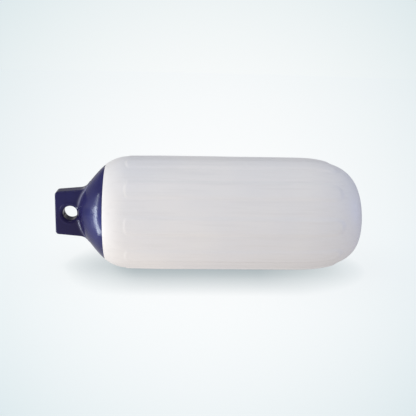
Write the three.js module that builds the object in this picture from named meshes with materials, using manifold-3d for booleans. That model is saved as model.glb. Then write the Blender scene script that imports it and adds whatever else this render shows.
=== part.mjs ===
// A boat fender: a ribbed, hollow vinyl barrel that holds air, with a solid rope eye at one end.
// Millimetres, +Z up. The barrel lies along X with the rope eye at -X. It rests on two of its ribs.

import * as THREE from "three";
import { mergeVertices } from "three/addons/utils/BufferGeometryUtils.js";
import Module from "manifold-3d";

const wasm = await Module();
wasm.setup();

// Barrel
const barrel_radius = 99.4; // between the ribs
const barrel_length = 294; // the straight part, shoulder to far dome
const wall = 3;

// Ribs along the barrel
const rib_count = 10;
const rib_height = 2.2;
const rib_crest_width = 25;
const rib_flank_width = 3.7;
const rib_ramp = 5; // length of the slope at each end of a rib
const rib_start_height = 1; // at the shoulder, from where a rib rises slowly to its full height
const rib_rise = 60; // length of that slow rise
const rib_reach_dome = 73; // how far a rib runs onto the far dome

// Shoulder and head at the eye end: an elliptic shoulder, a slightly domed flank and a round crown
const shoulder_run = 82.4;
const shoulder_drop = 114.8;
const shoulder_angle = THREE.MathUtils.degToRad(47.3); // slope where the shoulder ends
const colour_line_run = 40; // along X from the start of the shoulder to the change of colour
const flank_radius = 312;
const crown_edge_radius = 43;
const head_floor = 3; // solid vinyl behind the root of the tab

// Tab with the rope eye
const tab_height = 75.8; // at its end, from where it widens towards the head
const tab_thickness = 34;
const tab_reach = 37.6; // beyond the crown of the head
const tab_corner_radius = 5;
const tab_edge_radius = 3;
const tab_flare_radius = 22;
const flare_end_height = 50.5; // above the axis, where the flare meets the head
const tab_sink = 1.5; // how deep the flare's end lies in the head
const tab_root = 1.5; // flat land of the tab's faces behind the flare, inside the head
const eye_diameter = 26;
const eye_to_tab_end = 26;
const eye_lip_radius = 4;

// Far dome: r = R (1 - s^run_power)^(1 / drop_power), s from 0 at the barrel to 1 at the pole
const dome_length = 120.5;
const dome_run_power = 2.5;
const dome_drop_power = 3.7;

// Valve seat in the far pole, and the rubber needle valve that is pushed into it
const recess_radius = 15;
const recess_floor_radius = 12.5;
const recess_depth = 4;
const boss_radius = 13;
const boss_length = 12; // from the floor of the recess inwards
const stem_radius = 4.5;
const flange_radius = 8;
const flange_face_radius = 5.6; // inside the flange's bevel
const flange_thickness = 2.2;
const bulb_radius = 6.5;
const bulb_length = 6;
const needle_hole_radius = 0.9;
const needle_hole_depth = 9;
const fit_gap = 0.3;

// Fineness
const shoulder_steps = 7;
const inner_shoulder_steps = 4;
const head_steps = 2;
const flank_steps = 3;
const dome_steps = 12;
const inner_dome_steps = 6;
const crown_steps = 4;
const arc_steps = 8;
const eye_sides = 40;
const valve_sides = 24;
const merge_distance = 1e-4;

// Stations along X
const shoulder_x = -barrel_length / 2;
const dome_x = barrel_length / 2;
const pole_x = dome_x + dome_length;
const colour_line_x = shoulder_x - colour_line_run;

// Where the elliptic shoulder turns into the flank, an arc that steepens towards the crown
const shoulder_turn = Math.atan((Math.tan(shoulder_angle) * shoulder_run) / shoulder_drop);
const flank_x = shoulder_x - shoulder_run * Math.sin(shoulder_turn);
const flank_start_radius = barrel_radius - shoulder_drop * (1 - Math.cos(shoulder_turn));

// Slope of the flank at a radius, and where on X the flank has a slope
function flankAngle(radius) {
  return Math.acos(Math.cos(shoulder_angle) - (flank_start_radius - radius) / flank_radius);
}

function flankX(angle) {
  return flank_x - flank_radius * (Math.sin(angle) - Math.sin(shoulder_angle));
}

// The crown is part of a ball that carries on the flank's slope
const crown_angle = flankAngle(crown_edge_radius);
const crown_edge_x = flankX(crown_angle);
const crown_sphere = crown_edge_radius / Math.cos(crown_angle);
const crown_turn = Math.PI / 2 - crown_angle;
const crown_x = crown_edge_x - crown_sphere * (1 - Math.cos(crown_turn));

// Radius of an elliptic shoulder that leaves radius start at shoulder_x
function shoulderRadius(x, start, run, drop) {
  const s = Math.min((shoulder_x - x) / run, 1);
  return start - drop * (1 - Math.sqrt(1 - s * s));
}

function domeRadius(x, start, length) {
  const s = Math.min((x - dome_x) / length, 1);
  return start * (1 - s ** dome_run_power) ** (1 / dome_drop_power);
}

function outerRadius(x) {
  if (x < shoulder_x) return shoulderRadius(x, barrel_radius, shoulder_run, shoulder_drop);
  if (x > dome_x) return domeRadius(x, barrel_radius, dome_length);
  return barrel_radius;
}

function innerRadius(x) {
  const start = barrel_radius - wall;
  if (x < shoulder_x) return shoulderRadius(x, start, shoulder_run - wall, shoulder_drop - wall);
  if (x > dome_x) return domeRadius(x, start, dome_length - wall);
  return start;
}

// Ribs: a column of points at each crest and foot, and two in each gap
const pitch = (2 * Math.PI) / rib_count;
const crest_angle = rib_crest_width / 2 / barrel_radius;
const foot_angle = crest_angle + rib_flank_width / barrel_radius;
const rib_first_x = shoulder_x;
const rib_full_x = rib_first_x + rib_rise;
const rib_last_x = dome_x + rib_reach_dome;

function columnAngles() {
  const gap = pitch - 2 * foot_angle;
  const across = [-foot_angle, -crest_angle, -crest_angle / 3, crest_angle / 3, crest_angle, foot_angle];
  across.push(foot_angle + gap / 3, foot_angle + (2 * gap) / 3);
  const angles = [];
  for (let rib = 0; rib < rib_count; rib++) {
    for (const angle of across) angles.push(rib * pitch + angle);
  }
  return angles;
}

// 1 on a crest, 0 in a gap; angle 0 is the middle of the rib that faces -Y
function ribAcross(angle) {
  const off = Math.abs(angle - pitch * Math.round(angle / pitch));
  return THREE.MathUtils.clamp((foot_angle - off) / (foot_angle - crest_angle), 0, 1);
}

// Height of a crest: the slow rise from the shoulder, and the ramp past each end
function ribAlong(x) {
  const past_end = Math.max(rib_first_x - x, x - rib_last_x);
  const ramp = THREE.MathUtils.clamp(1 - past_end / rib_ramp, 0, 1);
  const risen = THREE.MathUtils.clamp((x - rib_first_x) / rib_rise, 0, 1);
  return ramp * (rib_start_height + (rib_height - rib_start_height) * risen);
}

// Turn a closed profile of [x, radius] about the X axis, one column of points at each angle.
// raise(x, angle) lifts the outer points.
function turned(profile, angles, raise) {
  const points = profile.map(([x, radius]) => new THREE.Vector2(radius, x));
  const geometry = new THREE.LatheGeometry(points, angles.length);
  const position = geometry.getAttribute("position");
  for (let index = 0; index < position.count; index++) {
    const column = Math.floor(index / profile.length) % angles.length;
    const [x, radius, is_outer] = profile[index % profile.length];
    const angle = angles[column];
    const lifted = radius + (is_outer ? raise(x, angle) : 0);
    position.setXYZ(index, x, -lifted * Math.cos(angle), -lifted * Math.sin(angle));
  }
  return geometry;
}

function evenAngles(sides) {
  return Array.from({ length: sides }, (unused, side) => (side * 2 * Math.PI) / sides);
}

function toSolid(geometry) {
  const bare = geometry.clone();
  bare.deleteAttribute("normal");
  bare.deleteAttribute("uv");
  const merged = mergeVertices(bare, merge_distance);
  const index = merged.getIndex().array;
  const corners = [];
  for (let i = 0; i < index.length; i += 3) {
    const [a, b, c] = [index[i], index[i + 1], index[i + 2]];
    if (a !== b && b !== c && c !== a) corners.push(a, b, c);
  }
  const vertProperties = new Float32Array(merged.getAttribute("position").array);
  const triVerts = new Uint32Array(corners);
  return new wasm.Manifold(new wasm.Mesh({ numProp: 3, vertProperties, triVerts }));
}

function toGeometry(solid) {
  const mesh = solid.getMesh();
  const geometry = new THREE.BufferGeometry();
  geometry.setAttribute("position", new THREE.BufferAttribute(mesh.vertProperties, 3));
  geometry.setIndex(new THREE.BufferAttribute(mesh.triVerts, 1));
  geometry.computeVertexNormals();
  return geometry;
}

// Fender body: outside from the colour line to the far pole, valve seat, then back along the inside
const recess_floor_x = pole_x - recess_depth;
const boss_end_x = recess_floor_x - boss_length;
const valve_bore_radius = stem_radius + fit_gap;

function fenderBody() {
  const stations = [rib_first_x - rib_ramp, rib_full_x, rib_last_x, rib_last_x + rib_ramp];
  for (let step = 0; step <= shoulder_steps; step++) {
    stations.push(shoulder_x - colour_line_run * Math.sin(((step / shoulder_steps) * Math.PI) / 2));
  }
  for (let step = 0; step < dome_steps; step++) {
    stations.push(dome_x + dome_length * Math.sin(((step / dome_steps) * Math.PI) / 2));
  }
  stations.sort((a, b) => a - b);

  const profile = stations.map((x) => [x, outerRadius(x), true]);
  profile.push([pole_x, recess_radius], [recess_floor_x, recess_floor_radius]);
  profile.push([recess_floor_x, valve_bore_radius], [boss_end_x, valve_bore_radius]);
  profile.push([boss_end_x, boss_radius]);
  const inner_dome_length = dome_length - wall;
  for (let step = inner_dome_steps - 1; step >= 0; step--) {
    const x = dome_x + inner_dome_length * Math.sin(((step / inner_dome_steps) * Math.PI) / 2);
    if (step === inner_dome_steps - 1) profile.push([pole_x - wall, boss_radius]);
    profile.push([x, innerRadius(x)]);
  }
  for (let step = 0; step <= inner_shoulder_steps; step++) {
    const x = shoulder_x - colour_line_run * Math.sin(((step / inner_shoulder_steps) * Math.PI) / 2);
    profile.push([x, innerRadius(x)]);
  }
  profile.push(profile[0]);
  const raise = (x, angle) => ribAcross(angle) * ribAlong(x);
  return turned(profile, columnAngles(), raise);
}

// Outline of the tab in X and Z: its sides widen until they touch the flares that run into the head
const tab_end_x = crown_x - tab_reach;
const flare_angle = flankAngle(flare_end_height);
const flare_end_x = flankX(flare_angle) + tab_sink;
const flare_x = flare_end_x - tab_flare_radius * Math.sin(flare_angle);
const flare_height = flare_end_height + tab_flare_radius * Math.cos(flare_angle);
const root_x = flare_end_x + tab_edge_radius * (1 + Math.tan(flare_angle / 2)) + tab_root;
const flare_distance = Math.hypot(flare_x - tab_end_x, flare_height - tab_height / 2);
const flare_bearing = Math.atan2(flare_height - tab_height / 2, flare_x - tab_end_x);
const tab_taper = flare_bearing - Math.asin(tab_flare_radius / flare_distance);

function tabOutline() {
  const quarter = Math.PI / 2;
  const corner_x = tab_end_x + tab_corner_radius;
  const corner_rise = tab_corner_radius * (Math.tan(tab_taper) - 1 / Math.cos(tab_taper));
  const corner = tab_height / 2 + corner_rise;
  const outline = new THREE.Shape();
  outline.moveTo(root_x, -flare_end_height);
  outline.lineTo(root_x, flare_end_height);
  outline.absarc(flare_x, flare_height, tab_flare_radius, flare_angle - quarter, tab_taper - quarter, true);
  outline.absarc(corner_x, corner, tab_corner_radius, quarter + tab_taper, 2 * quarter, false);
  outline.absarc(corner_x, -corner, tab_corner_radius, 2 * quarter, 3 * quarter - tab_taper, false);
  outline.absarc(flare_x, -flare_height, tab_flare_radius, quarter - tab_taper, quarter - flare_angle, true);
  return outline;
}

function tabBlock() {
  const geometry = new THREE.ExtrudeGeometry(tabOutline(), {
    depth: tab_thickness - 2 * tab_edge_radius,
    bevelThickness: tab_edge_radius,
    bevelSize: tab_edge_radius,
    bevelOffset: -tab_edge_radius,
    bevelSegments: 3,
    curveSegments: arc_steps,
  });
  geometry.translate(0, 0, -(tab_thickness / 2 - tab_edge_radius));
  return geometry.rotateX(Math.PI / 2);
}

// The eye's bore along Y, with a quarter-round lip at each face of the tab
function eyeBore() {
  const lip_start = tab_thickness / 2 - eye_lip_radius;
  const half = [];
  for (let step = 0; step <= arc_steps; step++) {
    const turn = ((step / arc_steps) * Math.PI) / 2;
    const radius = eye_diameter / 2 + eye_lip_radius * (1 - Math.cos(turn));
    half.push([radius, lip_start + eye_lip_radius * Math.sin(turn)]);
  }
  half.push([eye_diameter / 2 + eye_lip_radius, tab_thickness]);
  half.push([0, tab_thickness]);
  const far_half = half.map(([radius, y]) => [radius, -y]).reverse();
  const points = [...far_half, ...half].map(([radius, y]) => new THREE.Vector2(radius, y));
  const geometry = new THREE.LatheGeometry(points, eye_sides);
  return geometry.translate(tab_end_x + eye_to_tab_end, 0, 0);
}

// Eye end: a cup whose rim meets the body at the colour line, solid at the crown, with the tab on it
function headCup() {
  const profile = [];
  for (let step = 0; step <= crown_steps; step++) {
    const turn = (step / crown_steps) * crown_turn;
    const x = crown_x + crown_sphere * (1 - Math.cos(turn));
    profile.push([x, crown_sphere * Math.sin(turn)]);
  }
  for (let step = 1; step <= flank_steps; step++) {
    const angle = crown_angle + ((shoulder_angle - crown_angle) * step) / flank_steps;
    const radius = flank_start_radius - flank_radius * (Math.cos(shoulder_angle) - Math.cos(angle));
    profile.push([flankX(angle), radius]);
  }
  for (let step = 1; step <= head_steps; step++) {
    const x = flank_x + ((colour_line_x - flank_x) * step) / head_steps;
    profile.push([x, outerRadius(x)]);
  }
  const rim_radius = innerRadius(colour_line_x);
  const floor_x = root_x + head_floor;
  const inner_slope = Math.tan((shoulder_angle + crown_angle) / 2);
  const floor_radius = rim_radius - (colour_line_x - floor_x) * inner_slope;
  profile.push([colour_line_x, rim_radius], [floor_x, floor_radius], [floor_x, 0]);
  return turned(profile, columnAngles());
}

function eyeEnd() {
  const solid = toSolid(headCup()).add(toSolid(tabBlock())).subtract(toSolid(eyeBore()));
  return toGeometry(solid);
}

// Needle valve: flange in the recess, stem through the boss, bulb behind it, blind hole for the needle
function needleValve() {
  const flange_x = recess_floor_x + fit_gap;
  const face_x = flange_x + flange_thickness;
  const bulb_x = boss_end_x - fit_gap;
  const end_x = bulb_x - bulb_length;
  const profile = [
    [face_x - needle_hole_depth, 0],
    [face_x - needle_hole_depth, needle_hole_radius],
    [face_x, needle_hole_radius],
    [face_x, flange_face_radius],
    [flange_x + flange_thickness / 2, flange_radius],
    [flange_x, flange_radius],
    [flange_x, stem_radius],
    [bulb_x, stem_radius],
    [bulb_x, bulb_radius],
    [end_x, stem_radius],
    [end_x, 0],
  ];
  return turned(profile.reverse(), evenAngles(valve_sides));
}

const white_vinyl = new THREE.MeshStandardMaterial({ color: 0xe2e0e1, roughness: 0.38, metalness: 0 });
const navy_vinyl = new THREE.MeshStandardMaterial({ color: 0x2d2b56, roughness: 0.28, metalness: 0 });
const black_rubber = new THREE.MeshStandardMaterial({ color: 0x232326, roughness: 0.7, metalness: 0 });

function node(name, geometry, material) {
  const mesh = new THREE.Mesh(geometry, material);
  mesh.name = name;
  return mesh;
}

// The fender lies on the inner edges of the two lowest ribs, half a pitch each side of the bottom
const rest_angle = pitch / 2 - crest_angle;
const axis_height = (barrel_radius + rib_height) * Math.cos(rest_angle);

const fender = new THREE.Group();
fender.add(node("fender_body", fenderBody(), white_vinyl));
fender.add(node("eye_end", eyeEnd(), navy_vinyl));
fender.add(node("needle_valve", needleValve(), black_rubber));
fender.position.set(-(tab_end_x + pole_x) / 2, 0, axis_height);

export default fender;
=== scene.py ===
# %% [markdown]
# A boat fender, lying on its side
#
# The real fender is a bag of soft vinyl that holds air. Its white barrel has ten flat ribs along
# it, its navy end carries a thick square tab with a hole for the rope, and a rubber valve sits in
# the middle of the far end. This notebook dresses the measured solids of that fender: each solid
# is replaced by a finer mesh of the same shape, and then come the finishes, the floor, the lamps
# and the camera.

# %% Load the measured solids
import math

import bmesh
import bpy
import numpy as np
from mathutils import Matrix, Vector


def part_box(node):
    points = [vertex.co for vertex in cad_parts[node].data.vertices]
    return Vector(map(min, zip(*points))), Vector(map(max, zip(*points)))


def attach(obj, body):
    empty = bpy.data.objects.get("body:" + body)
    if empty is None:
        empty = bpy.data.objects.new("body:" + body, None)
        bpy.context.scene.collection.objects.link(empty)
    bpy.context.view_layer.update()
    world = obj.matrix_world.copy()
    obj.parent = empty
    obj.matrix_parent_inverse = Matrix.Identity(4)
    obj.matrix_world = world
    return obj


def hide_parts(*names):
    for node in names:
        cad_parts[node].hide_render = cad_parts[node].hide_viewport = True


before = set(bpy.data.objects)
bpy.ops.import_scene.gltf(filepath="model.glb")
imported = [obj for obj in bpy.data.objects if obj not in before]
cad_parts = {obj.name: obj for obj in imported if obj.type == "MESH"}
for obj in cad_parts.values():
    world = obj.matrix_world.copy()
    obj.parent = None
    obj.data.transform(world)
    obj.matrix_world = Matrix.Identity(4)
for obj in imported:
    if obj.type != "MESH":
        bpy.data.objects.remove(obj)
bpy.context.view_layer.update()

print("solids:", sorted(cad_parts))

# %% [markdown]
# Sizes and stations
#
# Every size below is a real one, in millimetres times mm, and the same as in the solids. The
# stations along the barrel are read from the solids' boxes, so the new meshes land exactly on
# them. The other way would be to type the places in by hand, and they would drift as soon as the
# fender got longer.

# %% Name the sizes and find the stations
mm = 0.001
barrel_radius = 99.4 * mm
barrel_length = 294 * mm
wall = 3 * mm
shoulder_run = 82.4 * mm
shoulder_drop = 114.8 * mm
dome_length = 120.5 * mm
dome_run_power = 2.5
dome_drop_power = 3.7

colour_line_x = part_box("fender_body")[0].x
pole_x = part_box("fender_body")[1].x
tab_end_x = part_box("eye_end")[0].x
axis_z = (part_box("fender_body")[0].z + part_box("fender_body")[1].z) / 2
dome_x = pole_x - dome_length
shoulder_x = dome_x - barrel_length
stations = (colour_line_x, shoulder_x, dome_x, pole_x)
print("colour line, shoulder, dome and pole at x:", [round(x, 4) for x in stations])

# %% [markdown]
# The outline of the barrel
#
# A blown fender has no sharp turns. The shoulder at the rope end is part of an ellipse, the middle
# is straight, and the far end is a blunt dome that is fuller than a ball. Formulas give both
# curves, because a formula can be sampled as finely as a mesh needs. A spline through measured
# points would do too, but it would ripple in the highlights.

# %% Write the outline as formulas
def shoulder_radius(x, start, run, drop):
    share = np.clip((shoulder_x - x) / run, 0, 1)
    return start - drop * (1 - np.sqrt(1 - share**2))


def dome_radius(x, start, length):
    share = np.clip((x - dome_x) / length, 0, 1)
    return start * (1 - share**dome_run_power) ** (1 / dome_drop_power)


def outer_radius(x):
    shoulder = shoulder_radius(x, barrel_radius, shoulder_run, shoulder_drop)
    return np.where(x < shoulder_x, shoulder, dome_radius(x, barrel_radius, dome_length))


def inner_radius(x):
    start = barrel_radius - wall
    shoulder = shoulder_radius(x, start, shoulder_run - wall, shoulder_drop - wall)
    return np.where(x < shoulder_x, shoulder, dome_radius(x, start, dome_length - wall))


print("radius at the colour line in mm:", round(float(outer_radius(colour_line_x)) / mm, 1))

# %% [markdown]
# Turning a profile
#
# The barrel, the head and the valve are all round about one axis, so one helper turns a closed
# profile of (x, radius) points about the fender's axis. Blender's Screw modifier does the same to
# a drawn line, but here each point may be lifted by an own amount, and the ribs need that.

# %% Write the turning helper
def make_piece(name, corners, faces):
    mesh = bpy.data.meshes.new(name)
    mesh.from_pydata(corners, [], faces)
    mesh.update()
    piece = bpy.data.objects.new(name, mesh)
    bpy.context.scene.collection.objects.link(piece)
    return piece


def grid_faces(rows, columns):
    """Quads between neighbouring rings, closed both ways, with their fronts facing out."""
    row, column = np.meshgrid(np.arange(rows), np.arange(columns), indexing="ij")
    next_row = (row + 1) % rows
    next_column = (column + 1) % columns
    corners = [(row, column), (row, next_column), (next_row, next_column), (next_row, column)]
    return np.stack([r * columns + c for r, c in corners], axis=-1).reshape(-1, 4).tolist()


def around(steps):
    return np.linspace(0, 2 * math.pi, steps, endpoint=False)


def turn(name, x, radius, angles):
    """x and radius have one row for each ring; radius may also differ from column to column."""
    radius = np.broadcast_to(np.reshape(radius, (len(x), -1)), (len(x), len(angles)))
    x = np.broadcast_to(np.reshape(x, (len(x), 1)), radius.shape)
    y = -radius * np.cos(angles)
    z = axis_z - radius * np.sin(angles)
    corners = np.stack([x, y, z], axis=-1).reshape(-1, 3)
    return make_piece(name, corners.tolist(), grid_faces(*radius.shape))


def smooth_shade(piece, sharp_degrees=40):
    piece.data.shade_smooth()
    piece.data.set_sharp_from_angle(angle=math.radians(sharp_degrees))


def weld_poles(piece):
    """Joins the points of a ring that has shrunk to a point, and drops its empty faces."""
    welded = bmesh.new()
    welded.from_mesh(piece.data)
    bmesh.ops.remove_doubles(welded, verts=welded.verts, dist=0.001 * mm)
    bmesh.ops.recalc_face_normals(welded, faces=welded.faces)
    welded.to_mesh(piece.data)
    welded.free()


# %% [markdown]
# The ribs
#
# Each rib is a flat band moulded about 2 mm proud of the barrel, with soft flanks and round ends.
# It starts low at the shoulder and rises slowly. A modeller could build one band and array it round
# the barrel. Here the distance from the edge of a round-cornered rectangle, laid out on the
# unrolled barrel, gives the height of every point, so that flanks, ends and corners come from one
# rule. The distance is counted in widths of a flank or a ramp, so that 1 is always a full slope.

# %% Height of the ribs over the barrel
rib_count = 10
rib_height = 2.2 * mm
rib_width = 28.7 * mm  # between the middles of its flanks
rib_flank = 9 * mm
rib_ramp_rope_end = 4.6 * mm
rib_ramp_far_end = 11 * mm
rib_corner = 1.5  # in slopes
rib_start_height = 1.3 * mm
rib_rise = 60 * mm
rib_first_x = shoulder_x - 2.5 * mm
rib_last_x = dome_x + 75.5 * mm
rib_pitch = 2 * math.pi / rib_count


def soft_step(share):
    share = np.clip(share, 0, 1)
    return share * share * (3 - 2 * share)


def rib_lift(x, angle):
    off = np.abs(angle - rib_pitch * np.round(angle / rib_pitch)) * barrel_radius
    across = (off - rib_width / 2) / rib_flank + rib_corner
    along = np.maximum((rib_first_x - x) / rib_ramp_rope_end, (x - rib_last_x) / rib_ramp_far_end)
    along = along + rib_corner
    outside = np.hypot(np.maximum(across, 0), np.maximum(along, 0))
    edge = outside + np.minimum(np.maximum(across, along), 0) - rib_corner
    risen = np.clip((x - rib_first_x) / rib_rise, 0, 1)
    return (rib_start_height + (rib_height - rib_start_height) * risen) * soft_step(0.5 - edge)


print("rib height on a crest and in a gap, mm:", rib_lift(0, 0) / mm, rib_lift(0, rib_pitch / 2) / mm)

# %% [markdown]
# What the mould and the air leave behind
#
# The barrel comes out of a two-part mould, so a fine line runs along its top and bottom. And a bag
# that is blown up is never quite true: its wall swells and dips by a fraction of a millimetre,
# which is what makes real highlights wander. A few slow waves of different lengths do that. Their
# phases are drawn from a seeded generator, so that every run gives the same fender.

# %% Parting line and swell
parting_height = 0.25 * mm
parting_width = 0.5 * mm
swell_height = 0.12 * mm
swell_waves = 7
chance = np.random.default_rng(11)
swell_turns = chance.integers(1, 6, swell_waves)
swell_lengths = chance.uniform(90, 260, swell_waves) * mm
swell_phases = chance.uniform(0, 2 * math.pi, swell_waves)


def parting_lift(angle):
    off = np.abs(np.cos(angle)) * barrel_radius
    return parting_height * np.exp(-((off / parting_width) ** 2))


def swell_lift(x, angle):
    lift = np.zeros(np.broadcast(x, angle).shape)
    for turns, length, phase in zip(swell_turns, swell_lengths, swell_phases):
        lift = lift + np.sin(turns * angle + phase) * np.sin(2 * math.pi * x / length + phase)
    return swell_height * lift / math.sqrt(swell_waves)


print("swell waves:", swell_waves, "each about mm:", round(swell_height / mm, 2))

# %% [markdown]
# Rings and columns
#
# A mesh needs fine steps only where it bends. The columns crowd together at the flanks of the
# ribs, and the rings at the ends of the ribs and towards the pole, where the dome turns quickly.
# Even steps everywhere would need four times as many faces for the same look.

# %% Place the columns
crest_steps = 8
flank_steps = 9
gap_steps = 10
flank_margin = 1 * mm
parting_columns = np.array([-1.2, -0.6, 0, 0.6, 1.2]) * mm


def barrel_columns():
    flank_span = (rib_flank + flank_margin) / barrel_radius
    rib_span = rib_width / barrel_radius
    stops = [-(rib_span + flank_span) / 2, -(rib_span - flank_span) / 2]
    stops += [-stops[1], -stops[0], rib_pitch + stops[0]]
    steps = [flank_steps, crest_steps, flank_steps, gap_steps]
    one_rib = [np.linspace(a, b, n, endpoint=False) for a, b, n in zip(stops, stops[1:], steps)]
    angles = [rib * rib_pitch + np.concatenate(one_rib) for rib in range(rib_count)]
    for middle in (math.pi / 2, 3 * math.pi / 2):
        angles.append(middle + parting_columns / barrel_radius)
    return np.unique(np.round(np.concatenate(angles), 6))


columns = barrel_columns()
print("columns round the barrel:", len(columns))

# %% Place the rings of the outside
recess_radius = 15 * mm
recess_lip = 1.2 * mm
shoulder_steps = 26
middle_steps = 34
dome_steps = 36
blunt_steps = 26
blunt_radius = 0.75 * barrel_radius  # nearer the axis than this, the rings are even in radius
rib_end_steps = 15
rib_end_reach = 6 * mm  # to each side of a rib's end
closest_rings = 0.02 * mm


def quarter(steps):
    return np.linspace(0, math.pi / 2, steps)


def barrel_rings():
    shoulder = shoulder_x - (shoulder_x - colour_line_x) * np.sin(quarter(shoulder_steps))[:-1]
    middle = np.linspace(shoulder_x, dome_x, middle_steps)
    end = np.linspace(blunt_radius, recess_radius + recess_lip, blunt_steps)
    blunt = dome_x + dome_length * (1 - (end / barrel_radius) ** dome_drop_power) ** (1 / dome_run_power)
    dome = np.linspace(dome_x, blunt[0], dome_steps)
    close_steps = np.linspace(-rib_end_reach, rib_end_reach, rib_end_steps)
    rib_ends = [stop + close_steps for stop in (rib_first_x, rib_last_x)]
    rings = np.sort(np.concatenate([shoulder, middle, dome, blunt[1:], *rib_ends]))
    return rings[np.append(True, np.diff(rings) > closest_rings)]


rings = barrel_rings()
print("rings along the barrel:", len(rings))

# %% [markdown]
# The barrel
#
# The barrel is one hollow moulding. Its profile runs from the colour line along the outside to the
# far pole, down into the recess of the valve and through the thick boss that grips it, and back
# along the inside, 3 mm under the skin. Modelling the skin alone and adding a Solidify modifier
# is quicker, but then the boss and the recess have to be cut in later. In the photograph the far
# end leans a little, so the dome of the finished mesh is sheared by a few degrees. The valve sits
# in it and is sheared along with it. A Lattice modifier could do the same, with more to set up.

# %% Lean the far dome
dome_lean = math.radians(2.6)
lean_run = 80 * mm  # over which the lean sets in


def read_points(piece):
    flat = np.empty(len(piece.data.vertices) * 3)
    piece.data.vertices.foreach_get("co", flat)
    return flat.reshape(-1, 3)


def lean_dome(piece):
    """Pushes the top of the far dome back and its bottom out, as the blown bag does when it lies."""
    points = read_points(piece)
    share = soft_step((points[:, 0] - dome_x) / lean_run)
    points[:, 0] -= math.tan(dome_lean) * share * (points[:, 2] - axis_z)
    piece.data.vertices.foreach_set("co", points.ravel())
    piece.data.update()


print("lean of the dome in degrees:", round(math.degrees(dome_lean), 1))

# %% Turn the barrel
recess_floor_radius = 12.5 * mm
recess_depth = 4 * mm
boss_radius = 13 * mm
boss_length = 12 * mm
fit_gap = 0.3 * mm  # between the valve and its seat
stem_radius = 4.5 * mm
recess_floor_x = pole_x - recess_depth
boss_end_x = recess_floor_x - boss_length
colour_line_edge = 0.7 * mm
edge_steps = 6  # in a rounded edge
clear_of_edge = 0.1 * mm
parting_end_x = pole_x - 30 * mm
inner_dome_steps = 24
inner_shoulder_steps = 16


def make_barrel():
    edge = quarter(edge_steps)
    edge_x = colour_line_x + colour_line_edge * (1 - np.cos(edge))
    edge_drop = colour_line_edge * (1 - np.sin(edge))
    outer_x = np.concatenate([edge_x, rings[rings > edge_x[-1] + clear_of_edge]])
    outer_drop = np.append(edge_drop, np.zeros(len(outer_x) - len(edge_x)))
    lip_x = pole_x - recess_lip * (1 - np.cos(edge[1:]))
    lip_radius = recess_radius + recess_lip * (1 - np.sin(edge[1:]))
    inner_dome_x = dome_x + (dome_length - wall) * np.sin(quarter(inner_dome_steps)[-2::-1])
    inner_shoulder = np.sin(quarter(inner_shoulder_steps)[1:])
    inner_x = np.append(inner_dome_x, shoulder_x - (shoulder_x - colour_line_x) * inner_shoulder)

    seat_radius = stem_radius + fit_gap
    plain_x = [recess_floor_x, recess_floor_x, boss_end_x, boss_end_x, pole_x - wall]
    plain_radius = [recess_floor_radius, seat_radius, seat_radius, boss_radius, boss_radius]
    plain_x = np.concatenate([lip_x, plain_x, inner_x])
    plain_radius = np.concatenate([lip_radius, plain_radius, inner_radius(inner_x)])

    x = outer_x[:, None]
    lift = rib_lift(x, columns) + parting_lift(columns) * (x < parting_end_x) + swell_lift(x, columns)
    outer = outer_radius(x) - outer_drop[:, None] + lift * (outer_radius(x) > barrel_radius / 2)
    plain = np.broadcast_to(plain_radius[:, None], (len(plain_x), len(columns)))
    barrel = turn("barrel", np.append(outer_x, plain_x), np.concatenate([outer, plain]), columns)
    weld_poles(barrel)
    lean_dome(barrel)
    smooth_shade(barrel)
    return barrel


barrel = make_barrel()
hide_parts("fender_body")
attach(barrel, "root")
print("barrel faces:", len(barrel.data.polygons))

# %% [markdown]
# The rope end as a distance
#
# The navy end is one thick moulding: a head that carries on the line of the shoulder, and a tab
# with the eye, run together with fillets. Fillets between a flat tab and a round head are hard to
# model face by face, and a Bevel modifier breaks on such a seam. So the whole end is written as a
# distance: a function that is zero on the skin, negative in the vinyl and positive in the air.
# Where two shapes meet, the two helpers below round the edge or fill the valley with an exact
# radius.

# %% Helpers that round an edge and fill a valley
def round_edge(a, b, radius):
    outside = np.hypot(np.maximum(radius + a, 0), np.maximum(radius + b, 0))
    return np.minimum(-radius, np.maximum(a, b)) + outside


def fill_valley(a, b, radius):
    inside = np.hypot(np.maximum(radius - a, 0), np.maximum(radius - b, 0))
    return np.maximum(radius, np.minimum(a, b)) - inside


# %% The head: shoulder, domed flank and round crown
head_step = 0.3 * mm  # the navy skin lies this much under the white one at the colour line
skirt = 12 * mm  # cut off again at the colour line
shoulder_angle = math.radians(47.3)
flank_radius = 312 * mm
crown_edge_radius = 43 * mm
shoulder_turn = math.atan(math.tan(shoulder_angle) * shoulder_run / shoulder_drop)
flank_start_x = shoulder_x - shoulder_run * math.sin(shoulder_turn)
flank_start_radius = barrel_radius - shoulder_drop * (1 - math.cos(shoulder_turn))


def flank_angle(radius):
    return math.acos(math.cos(shoulder_angle) - (flank_start_radius - radius) / flank_radius)


def flank_x(angle):
    return flank_start_x - flank_radius * (np.sin(angle) - math.sin(shoulder_angle))


crown_angle = flank_angle(crown_edge_radius)
crown_sphere = crown_edge_radius / math.cos(crown_angle)
crown_turn = math.pi / 2 - crown_angle
crown_x = float(flank_x(crown_angle)) - crown_sphere * (1 - math.cos(crown_turn))
skirt_x = colour_line_x + skirt


def head_profile(steps=200):
    turns = np.linspace(0, crown_turn, steps)
    crown = np.stack([crown_x + crown_sphere * (1 - np.cos(turns)), crown_sphere * np.sin(turns)])
    angles = np.linspace(crown_angle, shoulder_angle, steps)[1:]
    flank_line = flank_start_radius - flank_radius * (math.cos(shoulder_angle) - np.cos(angles))
    flank = np.stack([flank_x(angles), flank_line])
    shoulder_line = np.linspace(flank_start_x, skirt_x, steps)[1:]
    shoulder = np.stack([shoulder_line, outer_radius(shoulder_line)])
    return np.concatenate([crown, flank, shoulder], axis=1)


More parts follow.
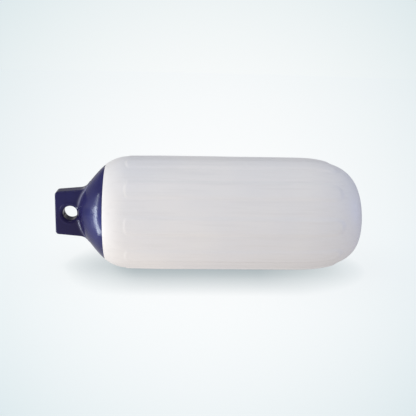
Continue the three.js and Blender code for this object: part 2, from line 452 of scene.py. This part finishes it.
profile_x, profile_radius = head_profile()
profile_reach = np.hypot(skirt_x - profile_x, profile_radius)
profile_turn = np.arctan2(profile_radius, skirt_x - profile_x)
slope_x, slope_radius = np.gradient(profile_x), np.gradient(profile_radius)
profile_lean = slope_radius * np.cos(profile_turn) + slope_x * np.sin(profile_turn)
profile_lean = profile_lean / np.hypot(slope_x, slope_radius)


def head_distance(point):
    radius = np.hypot(point[:, 1], point[:, 2])
    turn_angle = np.arctan2(radius, skirt_x - point[:, 0])
    reach = np.hypot(skirt_x - point[:, 0], radius)
    lean = np.interp(turn_angle, profile_turn, profile_lean)
    return (reach - np.interp(turn_angle, profile_turn, profile_reach)) * lean + head_step


print("crown of the head at x =", round(crown_x, 4))

# %% The tab: a plate that widens and flares into the head, with the eye and its ring
tab_height = 75.8 * mm
tab_thickness = 34 * mm
tab_corner = 5 * mm
tab_edge = 3 * mm
tab_flare = 22 * mm
flare_end_z = 50.5 * mm
tab_sink = 1.5 * mm
tab_fillet = 3 * mm
eye_radius = 13 * mm
eye_lip = 4 * mm
eye_x = tab_end_x + 26 * mm
ring_radius = 18.2 * mm
ring_width = 1.3 * mm
ring_height = 0.8 * mm
flare_angle = flank_angle(flare_end_z)
flare_end_x = float(flank_x(flare_angle)) + tab_sink
flare_x = flare_end_x - tab_flare * math.sin(flare_angle)
flare_z = flare_end_z + tab_flare * math.cos(flare_angle)
flare_reach = math.hypot(flare_x - tab_end_x, flare_z - tab_height / 2)
tab_taper = math.atan2(flare_z - tab_height / 2, flare_x - tab_end_x) - math.asin(tab_flare / flare_reach)


def tab_outline(x, z):
    """How far (x, z) is outside the tab's outline, seen along the eye."""
    z = np.abs(z)
    side = (z - tab_height / 2) * math.cos(tab_taper) - (x - tab_end_x) * math.sin(tab_taper)
    square = round_edge(tab_end_x - x, side, tab_corner)
    flare = tab_flare - np.hypot(x - flare_x, z - flare_z)
    past_side = (x - flare_x) * math.cos(tab_taper) + (z - flare_z) * math.sin(tab_taper)
    return np.where(past_side < 0, square, np.maximum(flare, x - flare_end_x))


def tab_distance(point):
    x, y, z = point.T
    from_eye = np.hypot(x - eye_x, z)
    ring = ring_height * np.exp(-(((from_eye - ring_radius) / ring_width) ** 2))
    face = np.abs(y) - tab_thickness / 2 - ring
    plate = round_edge(face, tab_outline(x, z), tab_edge)
    eye = round_edge(face, eye_radius - from_eye, eye_lip)
    return np.maximum(plate, eye)


def end_distance(point):
    return fill_valley(head_distance(point), tab_distance(point), tab_fillet)


print("eye at x =", round(eye_x, 4), "taper of a side in degrees:", round(math.degrees(tab_taper), 2))

# %% [markdown]
# From a distance to a mesh
#
# A rough blank comes first: a turned head and a plate with a hole, pushed into each other. The
# Remesh modifier melts them into one even skin of small squares. Then every point is slid along
# the slope of the distance until it lies on the true skin. The remesh alone would leave a faint
# staircase that a glossy finish shows at once.

# %% Make the blank and melt it into one skin
skin_square = 1.15 * mm
plate_root = 6 * mm  # how far the plate goes into the head
every_nth = 25  # point of the profile is enough for the blank
blank_columns = 96
hole_corners = 48


def apply_modifiers(piece):
    graph = bpy.context.evaluated_depsgraph_get()
    melted = bpy.data.meshes.new_from_object(piece.evaluated_get(graph))
    piece.modifiers.clear()
    piece.data = melted


def combine(piece, other, operation):
    """Joins other to piece or cuts it away from piece, and removes it."""
    step = piece.modifiers.new("combine", "BOOLEAN")
    step.operation = operation
    step.solver = "EXACT"
    step.object = other
    apply_modifiers(piece)
    bpy.data.objects.remove(other)


def slab(name, outline, low_y, high_y):
    """A plate between two y values, from an outline of (x, z) points."""
    count = len(outline)
    corners = [(x, y, z) for y in (low_y, high_y) for x, z in outline]
    faces = [list(range(count)), list(range(2 * count - 1, count - 1, -1))]
    faces += [[i, i + count, (i + 1) % count + count, (i + 1) % count] for i in range(count)]
    plate = make_piece(name, corners, faces)
    weld_poles(plate)
    return plate


def circle(x, z, radius, steps):
    return [(x + radius * math.cos(turn), z + radius * math.sin(turn)) for turn in around(steps)]


def plate_outline():
    arc = np.linspace(tab_taper, flare_angle, 12)
    root_x = flare_end_x + plate_root
    flare = [(flare_x + tab_flare * math.sin(a), flare_z - tab_flare * math.cos(a)) for a in arc]
    upper = [(tab_end_x, tab_height / 2)] + flare + [(root_x, flare_end_z)]
    return [(x, axis_z + z) for x, z in upper] + [(x, axis_z - z) for x, z in reversed(upper)]


def make_blank():
    head_x = np.concatenate([profile_x[::every_nth], [skirt_x, skirt_x]])
    head_radius = np.concatenate([profile_radius[::every_nth], [outer_radius(skirt_x), 0]])
    blank = turn("rope_end", head_x, head_radius, around(blank_columns))
    weld_poles(blank)
    plate = slab("plate", plate_outline(), -tab_thickness / 2, tab_thickness / 2)
    hole_outline = circle(eye_x, axis_z, eye_radius + eye_lip / 4, hole_corners)
    hole = slab("hole", hole_outline, -tab_thickness, tab_thickness)
    combine(plate, hole, "DIFFERENCE")
    combine(blank, plate, "UNION")
    melt = blank.modifiers.new("melt", "REMESH")
    melt.mode = "VOXEL"
    melt.voxel_size = skin_square
    apply_modifiers(blank)
    return blank


rope_end = make_blank()
print("points on the melted skin:", len(rope_end.data.vertices))

# %% Slide the points onto the true skin
skin_end_x = skirt_x - 4 * mm
slope_step = 0.02 * mm
least_slope = 0.2  # squared, so that a point where the slope is weak doesn't jump away


def relax(piece, rounds):
    smooth = piece.modifiers.new("relax", "SMOOTH")
    smooth.iterations = rounds
    apply_modifiers(piece)


def slide_to_skin(piece, distance, centre, limit_x, rounds=4):
    """Moves each point below limit_x along the slope of distance, measured from centre."""
    points = read_points(piece) - centre
    near = points[:, 0] < limit_x
    for _ in range(rounds):
        here = points[near]
        value = distance(here)
        rises = [distance(here + slope_step * axis) - value for axis in np.eye(3)]
        slope = np.stack(rises, axis=-1) / slope_step
        size = np.maximum(np.sum(slope**2, axis=-1), least_slope)
        points[near] = here - slope * (value / size)[:, None]
    piece.data.vertices.foreach_set("co", (points + centre).ravel())
    piece.data.update()
    return float(np.abs(distance(points[near])).max())


centre = np.array([0, 0, axis_z])
slide_to_skin(rope_end, end_distance, centre, skin_end_x)
relax(rope_end, 3)
left_over = slide_to_skin(rope_end, end_distance, centre, skin_end_x)
print("largest miss after sliding, mm:", round(left_over / mm, 4))

# %% [markdown]
# Hollowing the rope end
#
# The real end is hollow behind the crown, and its rim meets the barrel at the colour line. One
# turned cutter takes both away: the inside of the cup, and all that stands beyond the line. A
# knife cut would do for the flat rim but not for the hollow.

# %% Cut the rim and the hollow
head_floor = 3 * mm
tab_root = 1.5 * mm
cutter_radius = 1.3 * barrel_radius
cutter_columns = 180


def make_cutter():
    rim_radius = float(inner_radius(colour_line_x))
    floor_x = flare_end_x + tab_edge * (1 + math.tan(flare_angle / 2)) + tab_root + head_floor
    floor_radius = rim_radius - (colour_line_x - floor_x) * math.tan((shoulder_angle + crown_angle) / 2)
    x = [floor_x, floor_x, colour_line_x, colour_line_x, skirt_x + skirt, skirt_x + skirt]
    radius = [0, floor_radius, rim_radius, cutter_radius, cutter_radius, 0]
    cutter = turn("cutter", np.array(x), np.array(radius), around(cutter_columns))
    weld_poles(cutter)
    return cutter


combine(rope_end, make_cutter(), "DIFFERENCE")
smooth_shade(rope_end, sharp_degrees=35)
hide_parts("eye_end")
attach(rope_end, "root")
print("rope end faces:", len(rope_end.data.polygons))

# %% [markdown]
# The valve
#
# A rubber plug is pushed through the boss in the far pole. A ball needle goes in through the small
# hole in its middle to blow the fender up. It is turned like the barrel, with a rounded rim, a
# funnel that leads the needle in, and the bulb inside that keeps the plug from being pulled out.

# %% Turn the valve
flange_radius = 8 * mm
flange_thickness = 2.2 * mm
flange_edge = 1 * mm
bulb_radius = 6.5 * mm
bulb_length = 6 * mm
needle_radius = 0.9 * mm
needle_depth = 9 * mm
funnel_radius = 2.2 * mm
funnel_depth = 0.9 * mm
funnel_steps = 5
valve_columns = 64


def make_valve():
    flange_x = recess_floor_x + fit_gap
    face_x = flange_x + flange_thickness
    bulb_x = boss_end_x - fit_gap
    edge = quarter(edge_steps)
    edge_x = face_x - flange_edge * (1 - np.cos(edge))
    edge_radius = flange_radius - flange_edge * (1 - np.sin(edge))
    mouth = quarter(funnel_steps)
    funnel_x = face_x - funnel_depth * (1 - np.sin(mouth))
    funnel = needle_radius + (funnel_radius - needle_radius) * (1 - np.cos(mouth))
    x = [face_x - needle_depth, face_x - needle_depth, *funnel_x, *edge_x]
    radius = [0, needle_radius, *funnel, *edge_radius]
    x += [flange_x, flange_x, bulb_x, bulb_x, bulb_x - bulb_length, bulb_x - bulb_length]
    radius += [flange_radius, stem_radius, stem_radius, bulb_radius, stem_radius, 0]
    valve = turn("valve", np.array(x), np.array(radius), around(valve_columns))
    weld_poles(valve)
    lean_dome(valve)
    smooth_shade(valve, sharp_degrees=45)
    return valve


valve = make_valve()
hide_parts("needle_valve")
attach(valve, "root")
print("valve faces:", len(valve.data.polygons))

# %% [markdown]
# Finishes
#
# All three materials are procedural: noise in the object's own metres, so that nothing needs an
# unwrapped map. The helper below keeps the recipes short. It adds a node, fills its sockets and
# wires it up.

# %% Helpers for the recipes
def start_finish(name):
    finish = bpy.data.materials.new(name)
    finish.use_nodes = True
    return finish, finish.node_tree.nodes["Principled BSDF"]


def add(finish, kind, settings=None, **sockets):
    """Adds a node. A socket gets a value, or the output of another node."""
    tree = finish.node_tree
    node = tree.nodes.new(kind)
    for key, value in (settings or {}).items():
        setattr(node, key, value)
    for key, value in sockets.items():
        socket = node.inputs[key.replace("_", " ")]
        if isinstance(value, bpy.types.NodeSocket):
            tree.links.new(value, socket)
        else:
            socket.default_value = value
    return node


def noise(finish, scale, detail=3.0, squeeze=(1, 1, 1)):
    """Noise in the fender's own metres, with its grain squeezed along X, Y and Z by squeeze."""
    place = add(finish, "ShaderNodeTexCoord").outputs["Object"]
    place = add(finish, "ShaderNodeMapping", Vector=place, Scale=squeeze).outputs["Vector"]
    grain = add(finish, "ShaderNodeTexNoise", Vector=place, Scale=scale, Detail=detail)
    return grain.outputs["Fac"]


def spread_between(finish, factor, low, high, low_value, high_value):
    """A value that goes from low_value to high_value as factor goes from low to high."""
    node = add(finish, "ShaderNodeMapRange", Value=factor, From_Min=low, From_Max=high)
    node.inputs["To Min"].default_value = low_value
    node.inputs["To Max"].default_value = high_value
    return node.outputs["Result"]


def away_from(finish, value, middle):
    """How far value is from middle, on either side of it."""
    gap = add(finish, "ShaderNodeMath", {"operation": "SUBTRACT"}, Value=value)
    gap.inputs[1].default_value = middle
    gap = add(finish, "ShaderNodeMath", {"operation": "ABSOLUTE"}, Value=gap.outputs["Value"])
    return gap.outputs["Value"]


def blend_colours(finish, factor, low_colour, high_colour):
    """A colour between two, each given as three numbers or as another node's output."""
    tree = finish.node_tree
    node = tree.nodes.new("ShaderNodeMix")
    node.data_type = "RGBA"
    tree.links.new(factor, node.inputs[0])
    for socket, colour in ((node.inputs[6], low_colour), (node.inputs[7], high_colour)):
        if isinstance(colour, bpy.types.NodeSocket):
            tree.links.new(colour, socket)
        else:
            socket.default_value = (*colour, 1.0)
    return node.outputs[2]


def wire(finish, output, socket):
    finish.node_tree.links.new(output, socket)


# %% [markdown]
# White vinyl
#
# The barrel is satin vinyl: milky white, a little soft in its shine. The mould leaves faint
# streaks along it, and slow patches are a touch warmer or cooler. Under the lamp the skin has
# the finest orange peel. All of it is kept low, because a new fender looks clean.

# %% Mix the white vinyl
white = (0.755, 0.742, 0.735)
cool_white = (0.715, 0.712, 0.725)
streak_white = (0.685, 0.675, 0.675)
white_roughness = (0.36, 0.46)


def mix_white_vinyl():
    finish, shader = start_finish("white_vinyl")
    patches = noise(finish, scale=7.0, detail=2.0)
    patches = spread_between(finish, patches, 0.35, 0.65, 0.0, 1.0)
    streaks = noise(finish, scale=7.0, squeeze=(1.2, 24, 24))
    streaks = spread_between(finish, streaks, 0.5, 0.75, 0.0, 0.5)
    colour = blend_colours(finish, patches, white, cool_white)
    wire(finish, blend_colours(finish, streaks, colour, streak_white), shader.inputs["Base Color"])
    shine = noise(finish, scale=9.0, detail=4.0, squeeze=(2, 10, 10))
    wire(finish, spread_between(finish, shine, 0.3, 0.7, *white_roughness), shader.inputs["Roughness"])
    peel = noise(finish, scale=900.0, detail=2.0)
    bump = add(finish, "ShaderNodeBump", Strength=0.12, Distance=0.0002, Height=peel)
    wire(finish, bump.outputs["Normal"], shader.inputs["Normal"])
    return finish


barrel.data.materials.append(mix_white_vinyl())
print("white vinyl on:", barrel.name)

# %% [markdown]
# Navy vinyl
#
# The rope end is the same vinyl with a deep blue pigment and a glossier skin, because it is
# moulded against polished steel. Light is painted into its colour: the head is painted a lighter
# blue than the thick tab, most of all halfway up, and darker towards its top and bottom. The place
# along the barrel and the height over its axis drive that here. A painted highlight lies in the
# fillets beside the tab, so the points that lie there are marked first.

# %% Mark the painted highlight in the fillets between the tab and the head
fillet_width = 2.6 * mm
fillet_start = 8 * mm  # above and below the axis, because the middle of the fillet stays dark
fillet_fade = 12 * mm
lower_share = 0.55  # of the upper fillet's painted highlight, in the lower one


def mark_fillet_highlights(piece):
    """Stores on each point how much painted highlight it gets, from 0 up to 1 in the middle of the upper
    fillet.
    """
    points = read_points(piece) - centre
    gap = np.hypot(head_distance(points), tab_distance(points))
    height = points[:, 2]
    share = np.exp(-((gap / fillet_width) ** 2))
    share = share * soft_step((np.abs(height) - fillet_start) / fillet_fade)
    share = share * np.where(height > 0, 1.0, lower_share)
    marks = piece.data.attributes.new("fillet", "FLOAT", "POINT")
    marks.data.foreach_set("value", share)
    return int(np.sum(share > lower_share / 2))


print("points in the pale fillets:", mark_fillet_highlights(rope_end))

# %% Mix the navy vinyl
tab_navy = (0.015, 0.012, 0.050)
painted_lit_navy = (0.033, 0.038, 0.152)
painted_shade_share = 0.35  # of the painted lit colour, at its top and bottom, which are painted darker
fade_heights = (5 * mm, 50 * mm)  # over and under the axis, where the fade to that starts and ends
painted_light_run = (crown_x + 10 * mm, colour_line_x - 12 * mm)  # along X, where the painted light on the head sets in
# the colour of the painted highlight in the fillets
painted_highlight_navy = (0.17, 0.17, 0.25)
worn_share = 0.3  # of the head's colour, in the slow patches
navy_mirror = 0.25  # half of the usual 0.5
navy_roughness = (0.12, 0.18)


def mix_navy_vinyl():
    finish, shader = start_finish("navy_vinyl")
    # Painted light: the head is lighter halfway up and towards the colour line, and darker at its top,
    # its bottom and the tab.
    place = add(finish, "ShaderNodeTexCoord").outputs["Object"]
    split = add(finish, "ShaderNodeSeparateXYZ", Vector=place)
    height = away_from(finish, split.outputs["Z"], axis_z)
    lit = spread_between(finish, height, *fade_heights, 1.0, painted_shade_share)
    lit_and_shaded_colour = blend_colours(finish, lit, tab_navy, painted_lit_navy)
    painted_light_along = spread_between(finish, split.outputs["X"], *painted_light_run, 0.0, 1.0)
    colour = blend_colours(finish, painted_light_along, tab_navy, lit_and_shaded_colour)
    patches = noise(finish, scale=16.0)
    patches = spread_between(finish, patches, 0.4, 0.7, 0.0, worn_share)
    colour = blend_colours(finish, patches, colour, painted_lit_navy)
    # Painted highlight: the fillets beside the tab are blended towards a paler navy.
    fillet = add(finish, "ShaderNodeAttribute", {"attribute_name": "fillet"}).outputs["Fac"]
    wire(finish, blend_colours(finish, fillet, colour, painted_highlight_navy), shader.inputs["Base Color"])
    shine = noise(finish, scale=60.0, detail=4.0)
    wire(finish, spread_between(finish, shine, 0.3, 0.7, *navy_roughness), shader.inputs["Roughness"])
    shader.inputs["Specular IOR Level"].default_value = navy_mirror
    peel = noise(finish, scale=500.0, detail=2.0)
    bump = add(finish, "ShaderNodeBump", Strength=0.08, Distance=0.0003, Height=peel)
    wire(finish, bump.outputs["Normal"], shader.inputs["Normal"])
    return finish


rope_end.data.materials.append(mix_navy_vinyl())
print("navy vinyl on:", rope_end.name)

# %% [markdown]
# Black rubber
#
# The plug is matt, soft and a little dusty, so its shine is broad and its colour is a warm black.

# %% Mix the black rubber
rubber = (0.014, 0.014, 0.016)
dusty_rubber = (0.03, 0.03, 0.032)
rubber_roughness = (0.6, 0.78)


def mix_black_rubber():
    finish, shader = start_finish("black_rubber")
    dust = noise(finish, scale=250.0, detail=4.0)
    dust = spread_between(finish, dust, 0.45, 0.75, 0.0, 1.0)
    wire(finish, blend_colours(finish, dust, rubber, dusty_rubber), shader.inputs["Base Color"])
    wire(finish, spread_between(finish, dust, 0.0, 1.0, *rubber_roughness), shader.inputs["Roughness"])
    bump = add(finish, "ShaderNodeBump", Strength=0.2, Distance=0.0002, Height=dust)
    wire(finish, bump.outputs["Normal"], shader.inputs["Normal"])
    return finish


valve.data.materials.append(mix_black_rubber())
print("black rubber on:", valve.name)

# %% [markdown]
# Camera
#
# The photograph looks slightly down on the fender and a little from its left, through a lens of
# medium length. The camera is placed by what it looks at, how far away it stands, and three
# angles, because those can be read off the picture. Typing in a location and a rotation would hide
# them. It comes before the backdrop, whose light is brightest along the line that it looks along.

# %% Place the camera
lens_length = 60  # in mm, on a sensor 36 mm wide
sensor_width = 36
aim_point = Vector((-0.001, 0, 0.10845))
camera_distance = 1.249
look_right = math.radians(3.47)
look_down = math.radians(13.5)
lean = math.radians(1.42)

level_ahead = Vector((math.sin(look_right), math.cos(look_right), 0))
ahead = level_ahead * math.cos(look_down) - Vector((0, 0, math.sin(look_down)))
camera_place = aim_point - ahead * camera_distance


def place_camera():
    level = Vector((math.cos(look_right), -math.sin(look_right), 0))
    up = level.cross(ahead)
    right = level * math.cos(lean) + up * math.sin(lean)
    up = up * math.cos(lean) - level * math.sin(lean)
    lens = bpy.data.cameras.new("camera")
    lens.lens = lens_length
    lens.sensor_width = sensor_width
    camera = bpy.data.objects.new("camera", lens)
    turned = Matrix((right, up, -ahead)).transposed().to_4x4()
    camera.matrix_world = Matrix.Translation(camera_place) @ turned
    bpy.context.scene.collection.objects.link(camera)
    bpy.context.scene.camera = camera
    return camera


camera = place_camera()
print("camera stands at:", [round(value, 3) for value in camera.location])

# %% [markdown]
# Floor and background
#
# The fender lies on a white sweep of paper with no edge in sight. A curved wall would hide the
# fender from behind, so the floor is a wide disc, and the world beyond it has the same pale
# colour. Both are brightest straight ahead of the camera and fall off towards the corners of the
# picture, like paper under one soft lamp. The camera sees the shade on the paper: an ambient
# occlusion node deepens the colour where the fender is close over it, and less past its ends. All
# other rays meet a glowing floor, warm and brighter at the left, as if the rest of a bright room
# were there. It is dimmer for glossy rays, which would meet the shaded paper right by the fender.

# %% The pool of light on the backdrop
pool_middle = (0.975, 0.985, 0.982)
pool_corner = (0.735, 0.82, 0.84)
corner_spread = 0.178  # the squared tangent of the angle from the middle to the corner


def dot(finish, vector, axis):
    node = add(finish, "ShaderNodeVectorMath", {"operation": "DOT_PRODUCT"})
    wire(finish, vector, node.inputs[0])
    node.inputs[1].default_value = axis
    return node.outputs["Value"]


def pool_colour(finish, direction):
    """The backdrop's colour in a direction: 1 over the squared cosine is 1 plus the squared tangent."""
    cosine = dot(finish, direction, ahead)
    square = add(finish, "ShaderNodeMath", {"operation": "POWER"})
    wire(finish, cosine, square.inputs[0])
    square.inputs[1].default_value = -2.0
    spread = spread_between(finish, square.outputs["Value"], 1.0, 1.0 + corner_spread, 0.0, 1.0)
    return blend_colours(finish, spread, pool_middle, pool_corner)


print("backdrop from the middle to a corner:", pool_middle, pool_corner)

# %% Lay the floor
floor_radius = 8.0
floor_corners = 128
floor_glow = (0.97, 0.92, 0.885)
glow_left, glow_right = 1.34, 0.7  # times the glow, at glow_reach to each side
glow_reach = 0.5
mirrored_glow = (0.42, 0.42, 0.43)  # for glossy rays, because they meet the shaded paper close by
mirrored_end = 0.85  # from the middle of the fender, where glossy rays no longer meet paper
mirrored_far = 0.25  # times the mirrored glow, out there
matt_share = 0.18  # of the floor's colour, which takes real shadows; the rest is an even glow
full_light = 0.89  # what falls on the floor where nothing shades it
shade_reach, end_reach = 0.087, 0.04  # how far the fender shades, under the barrel and past its ends
middle_shade = (0.45, 0.51, 0.535)
end_shade = (0.76, 0.80, 0.81)
shade_middle = -0.02  # along X, where the shade is deepest
reach_fade = (0.17, 0.32)  # how far from there the first reach goes over into the second
shade_fade = (0.11, 0.27)  # and the first shade into the second
shade_samples = 16


def scaled(finish, colour, share):
    node = add(finish, "ShaderNodeVectorMath", {"operation": "SCALE"}, Vector=colour, Scale=share)
    return node.outputs["Vector"]


def unseen_glow(finish, place, path):
    """What all rays but the camera's meet: the glow, or for glossy ones the dimmer mirrored glow."""
    x = add(finish, "ShaderNodeSeparateXYZ", Vector=place).outputs["X"]
    slope = spread_between(finish, x, -glow_reach, glow_reach, glow_left, glow_right)
    length = add(finish, "ShaderNodeVectorMath", {"operation": "LENGTH"}, Vector=place).outputs["Value"]
    near = spread_between(finish, length, 0.5 * mirrored_end, mirrored_end, 1.0, mirrored_far)
    mirrored = scaled(finish, mirrored_glow, near)
    colour = blend_colours(finish, path.outputs["Is Glossy Ray"], floor_glow, mirrored)
    return add(finish, "ShaderNodeEmission", Color=colour, Strength=slope).outputs["Emission"]


def shaded(finish, colour, place):
    """The colour, deeper and bluer where the fender stands close over the paper."""
    x = add(finish, "ShaderNodeSeparateXYZ", Vector=place).outputs["X"]
    from_middle = away_from(finish, x, shade_middle)
    reach = spread_between(finish, from_middle, *reach_fade, shade_reach, end_reach)
    near = add(finish, "ShaderNodeAmbientOcclusion", {"samples": shade_samples}, Distance=reach)
    towards_end = spread_between(finish, from_middle, *shade_fade, 0.0, 1.0)
    deepest = blend_colours(finish, towards_end, middle_shade, end_shade)
    shade = blend_colours(finish, near.outputs["AO"], deepest, (1.0, 1.0, 1.0))
    node = add(finish, "ShaderNodeVectorMath", {"operation": "MULTIPLY"})
    wire(finish, colour, node.inputs[0])
    wire(finish, shade, node.inputs[1])
    return node.outputs["Vector"]


def make_floor():
    rim = [(x, y, 0) for x, y in circle(0, 0, floor_radius, floor_corners)]
    floor = make_piece("floor", rim, [list(range(floor_corners))])
    finish, unused = start_finish("paper_floor")
    tree = finish.node_tree
    tree.nodes.remove(unused)
    place = add(finish, "ShaderNodeTexCoord").outputs["Object"]
    from_camera = add(finish, "ShaderNodeVectorMath", {"operation": "SUBTRACT"})
    wire(finish, place, from_camera.inputs[0])
    from_camera.inputs[1].default_value = camera_place
    direction = add(finish, "ShaderNodeVectorMath", {"operation": "NORMALIZE"})
    wire(finish, from_camera.outputs["Vector"], direction.inputs[0])
    pool = shaded(finish, pool_colour(finish, direction.outputs["Vector"]), place)
    matt = add(finish, "ShaderNodeBsdfDiffuse", Color=scaled(finish, pool, matt_share / full_light))
    steady = add(finish, "ShaderNodeEmission", Color=pool, Strength=1 - matt_share)
    lit = add(finish, "ShaderNodeAddShader")
    wire(finish, matt.outputs["BSDF"], lit.inputs[0])
    wire(finish, steady.outputs["Emission"], lit.inputs[1])
    path = add(finish, "ShaderNodeLightPath")
    seen = add(finish, "ShaderNodeMixShader", Fac=path.outputs["Is Camera Ray"])
    wire(finish, unseen_glow(finish, place, path), seen.inputs[1])
    wire(finish, lit.outputs["Shader"], seen.inputs[2])
    wire(finish, seen.outputs["Shader"], tree.nodes["Material Output"].inputs["Surface"])
    floor.data.materials.append(finish)


make_floor()
print("floor radius in m:", floor_radius)

# %% [markdown]
# World
#
# A ray that leaves the scene takes its colour from the world, and here the kind of ray decides
# which colour that is. The camera's rays get the pool of pale light. Those from matt surfaces get
# soft light, warm and strong from the left, bluer and weaker from the right, because the white
# barrel in the photograph goes from warm to blue. Those from glossy surfaces get a dim room that
# is darker higher up, so that the navy stays deep. A panorama of a real room would light all
# three alike, and the lamps in it could not be moved.

# %% Set the world
soft_from = (-0.99, 0.12, 0.02)
soft_near = (1.22, 1.18, 1.11)
soft_far = (0.425, 0.50, 0.66)
mirrored_low = (0.48, 0.47, 0.46)
mirrored_high = (0.08, 0.08, 0.09)
mirrored_height = 0.3  # the height of a direction one metre long, where the dim room ends


def set_world():
    """Soft light for matt surfaces, a dim room for glossy ones, the pool for the camera."""
    world = bpy.data.worlds.new("pale_world")
    world.use_nodes = True
    bpy.context.scene.world = world
    tree = world.node_tree
    path = add(world, "ShaderNodeLightPath")
    direction = add(world, "ShaderNodeTexCoord").outputs["Generated"]
    side = spread_between(world, dot(world, direction, soft_from), -1.0, 1.0, 0.0, 1.0)
    soft = add(world, "ShaderNodeBackground", Color=blend_colours(world, side, soft_far, soft_near))
    height = spread_between(world, dot(world, direction, (0, 0, 1)), 0.0, mirrored_height, 0.0, 1.0)
    room = blend_colours(world, height, mirrored_low, mirrored_high)
    dim = add(world, "ShaderNodeBackground", Color=room)
    pale = add(world, "ShaderNodeBackground", Color=pool_colour(world, direction))
    unseen = add(world, "ShaderNodeMixShader", Fac=path.outputs["Is Glossy Ray"])
    wire(world, soft.outputs["Background"], unseen.inputs[1])
    wire(world, dim.outputs["Background"], unseen.inputs[2])
    seen = add(world, "ShaderNodeMixShader", Fac=path.outputs["Is Camera Ray"])
    wire(world, unseen.outputs["Shader"], seen.inputs[1])
    wire(world, pale.outputs["Background"], seen.inputs[2])
    wire(world, seen.outputs["Shader"], tree.nodes["World Output"].inputs["Surface"])


set_world()
print("soft light from the left and from the right:", soft_near, soft_far)

# %% [markdown]
# Lamps
#
# In the photograph light comes from all round, so the white barrel is almost one tone. A weak broad
# lamp above makes its upper side a little brighter, and a blue one at the right tints the rim of
# the far end. The glossy navy head shows the shape of a lamp as a mirror does, and what it shows is
# one long crescent. Two narrow lamps at the left, one over the other and each turned a little, draw
# its upper part. Its lower part is how the paper mirrors them. The floor here mirrors nothing, so a
# strip lies on it with its face up. The last lamp, at the front left, picks out the ends of the
# ribs and the fillets of the tab. Point lamps would draw dots where the photograph has a crescent.

# %% Hang the lamps
def area_lamp(name, place, aim, size, radiance, colour, turned=0):
    """A lamp with a face as bright as radiance: its power in watts is pi times area times that."""
    light = bpy.data.lights.new(name, "AREA")
    light.shape = "RECTANGLE"
    light.size, light.size_y = size
    light.energy = math.pi * size[0] * size[1] * radiance
    light.color = colour
    lamp = bpy.data.objects.new(name, light)
    lamp.location = place
    lamp.rotation_euler = (Vector(aim) - Vector(place)).to_track_quat("-Z", "Y").to_euler()
    lamp.rotation_euler.rotate_axis("Z", math.radians(turned))
    lamp.visible_camera = False
    bpy.context.scene.collection.objects.link(lamp)


cold, plain, warm, blue = (0.84, 0.93, 1.0), (1.0, 1.0, 1.0), (1.0, 0.98, 0.96), (0.3, 0.4, 1.0)
area_lamp("rim", (-0.81, 0.034, 0.082), (-0.19, -0.07, 0.11), (0.05, 0.16), 19, cold, turned=16)
area_lamp("upper rim", (-0.787, 0.075, 0.245), (-0.19, -0.07, 0.13), (0.07, 0.18), 5.5, cold, turned=26)
area_lamp("glint", (-0.56, -0.017, 0.004), (-0.56, -0.017, 1), (0.48, 0.05), 13, cold, turned=12)
area_lamp("above", (-0.4, -0.45, 0.95), (-0.08, 0, 0.15), (0.5, 0.4), 1.3, warm)
area_lamp("far end", (0.85, -0.05, 0.17), (0.25, 0, 0.11), (0.3, 0.3), 1.5, blue)
area_lamp("front", (-1.0, -1.05, 0.2), (-0.2, 0, 0.1), (0.45, 0.36), 2.6, plain)

# %% [markdown]
# Last settings
#
# The Standard view shows colours about as they are written.

bpy.context.scene.view_settings.view_transform = "Standard"
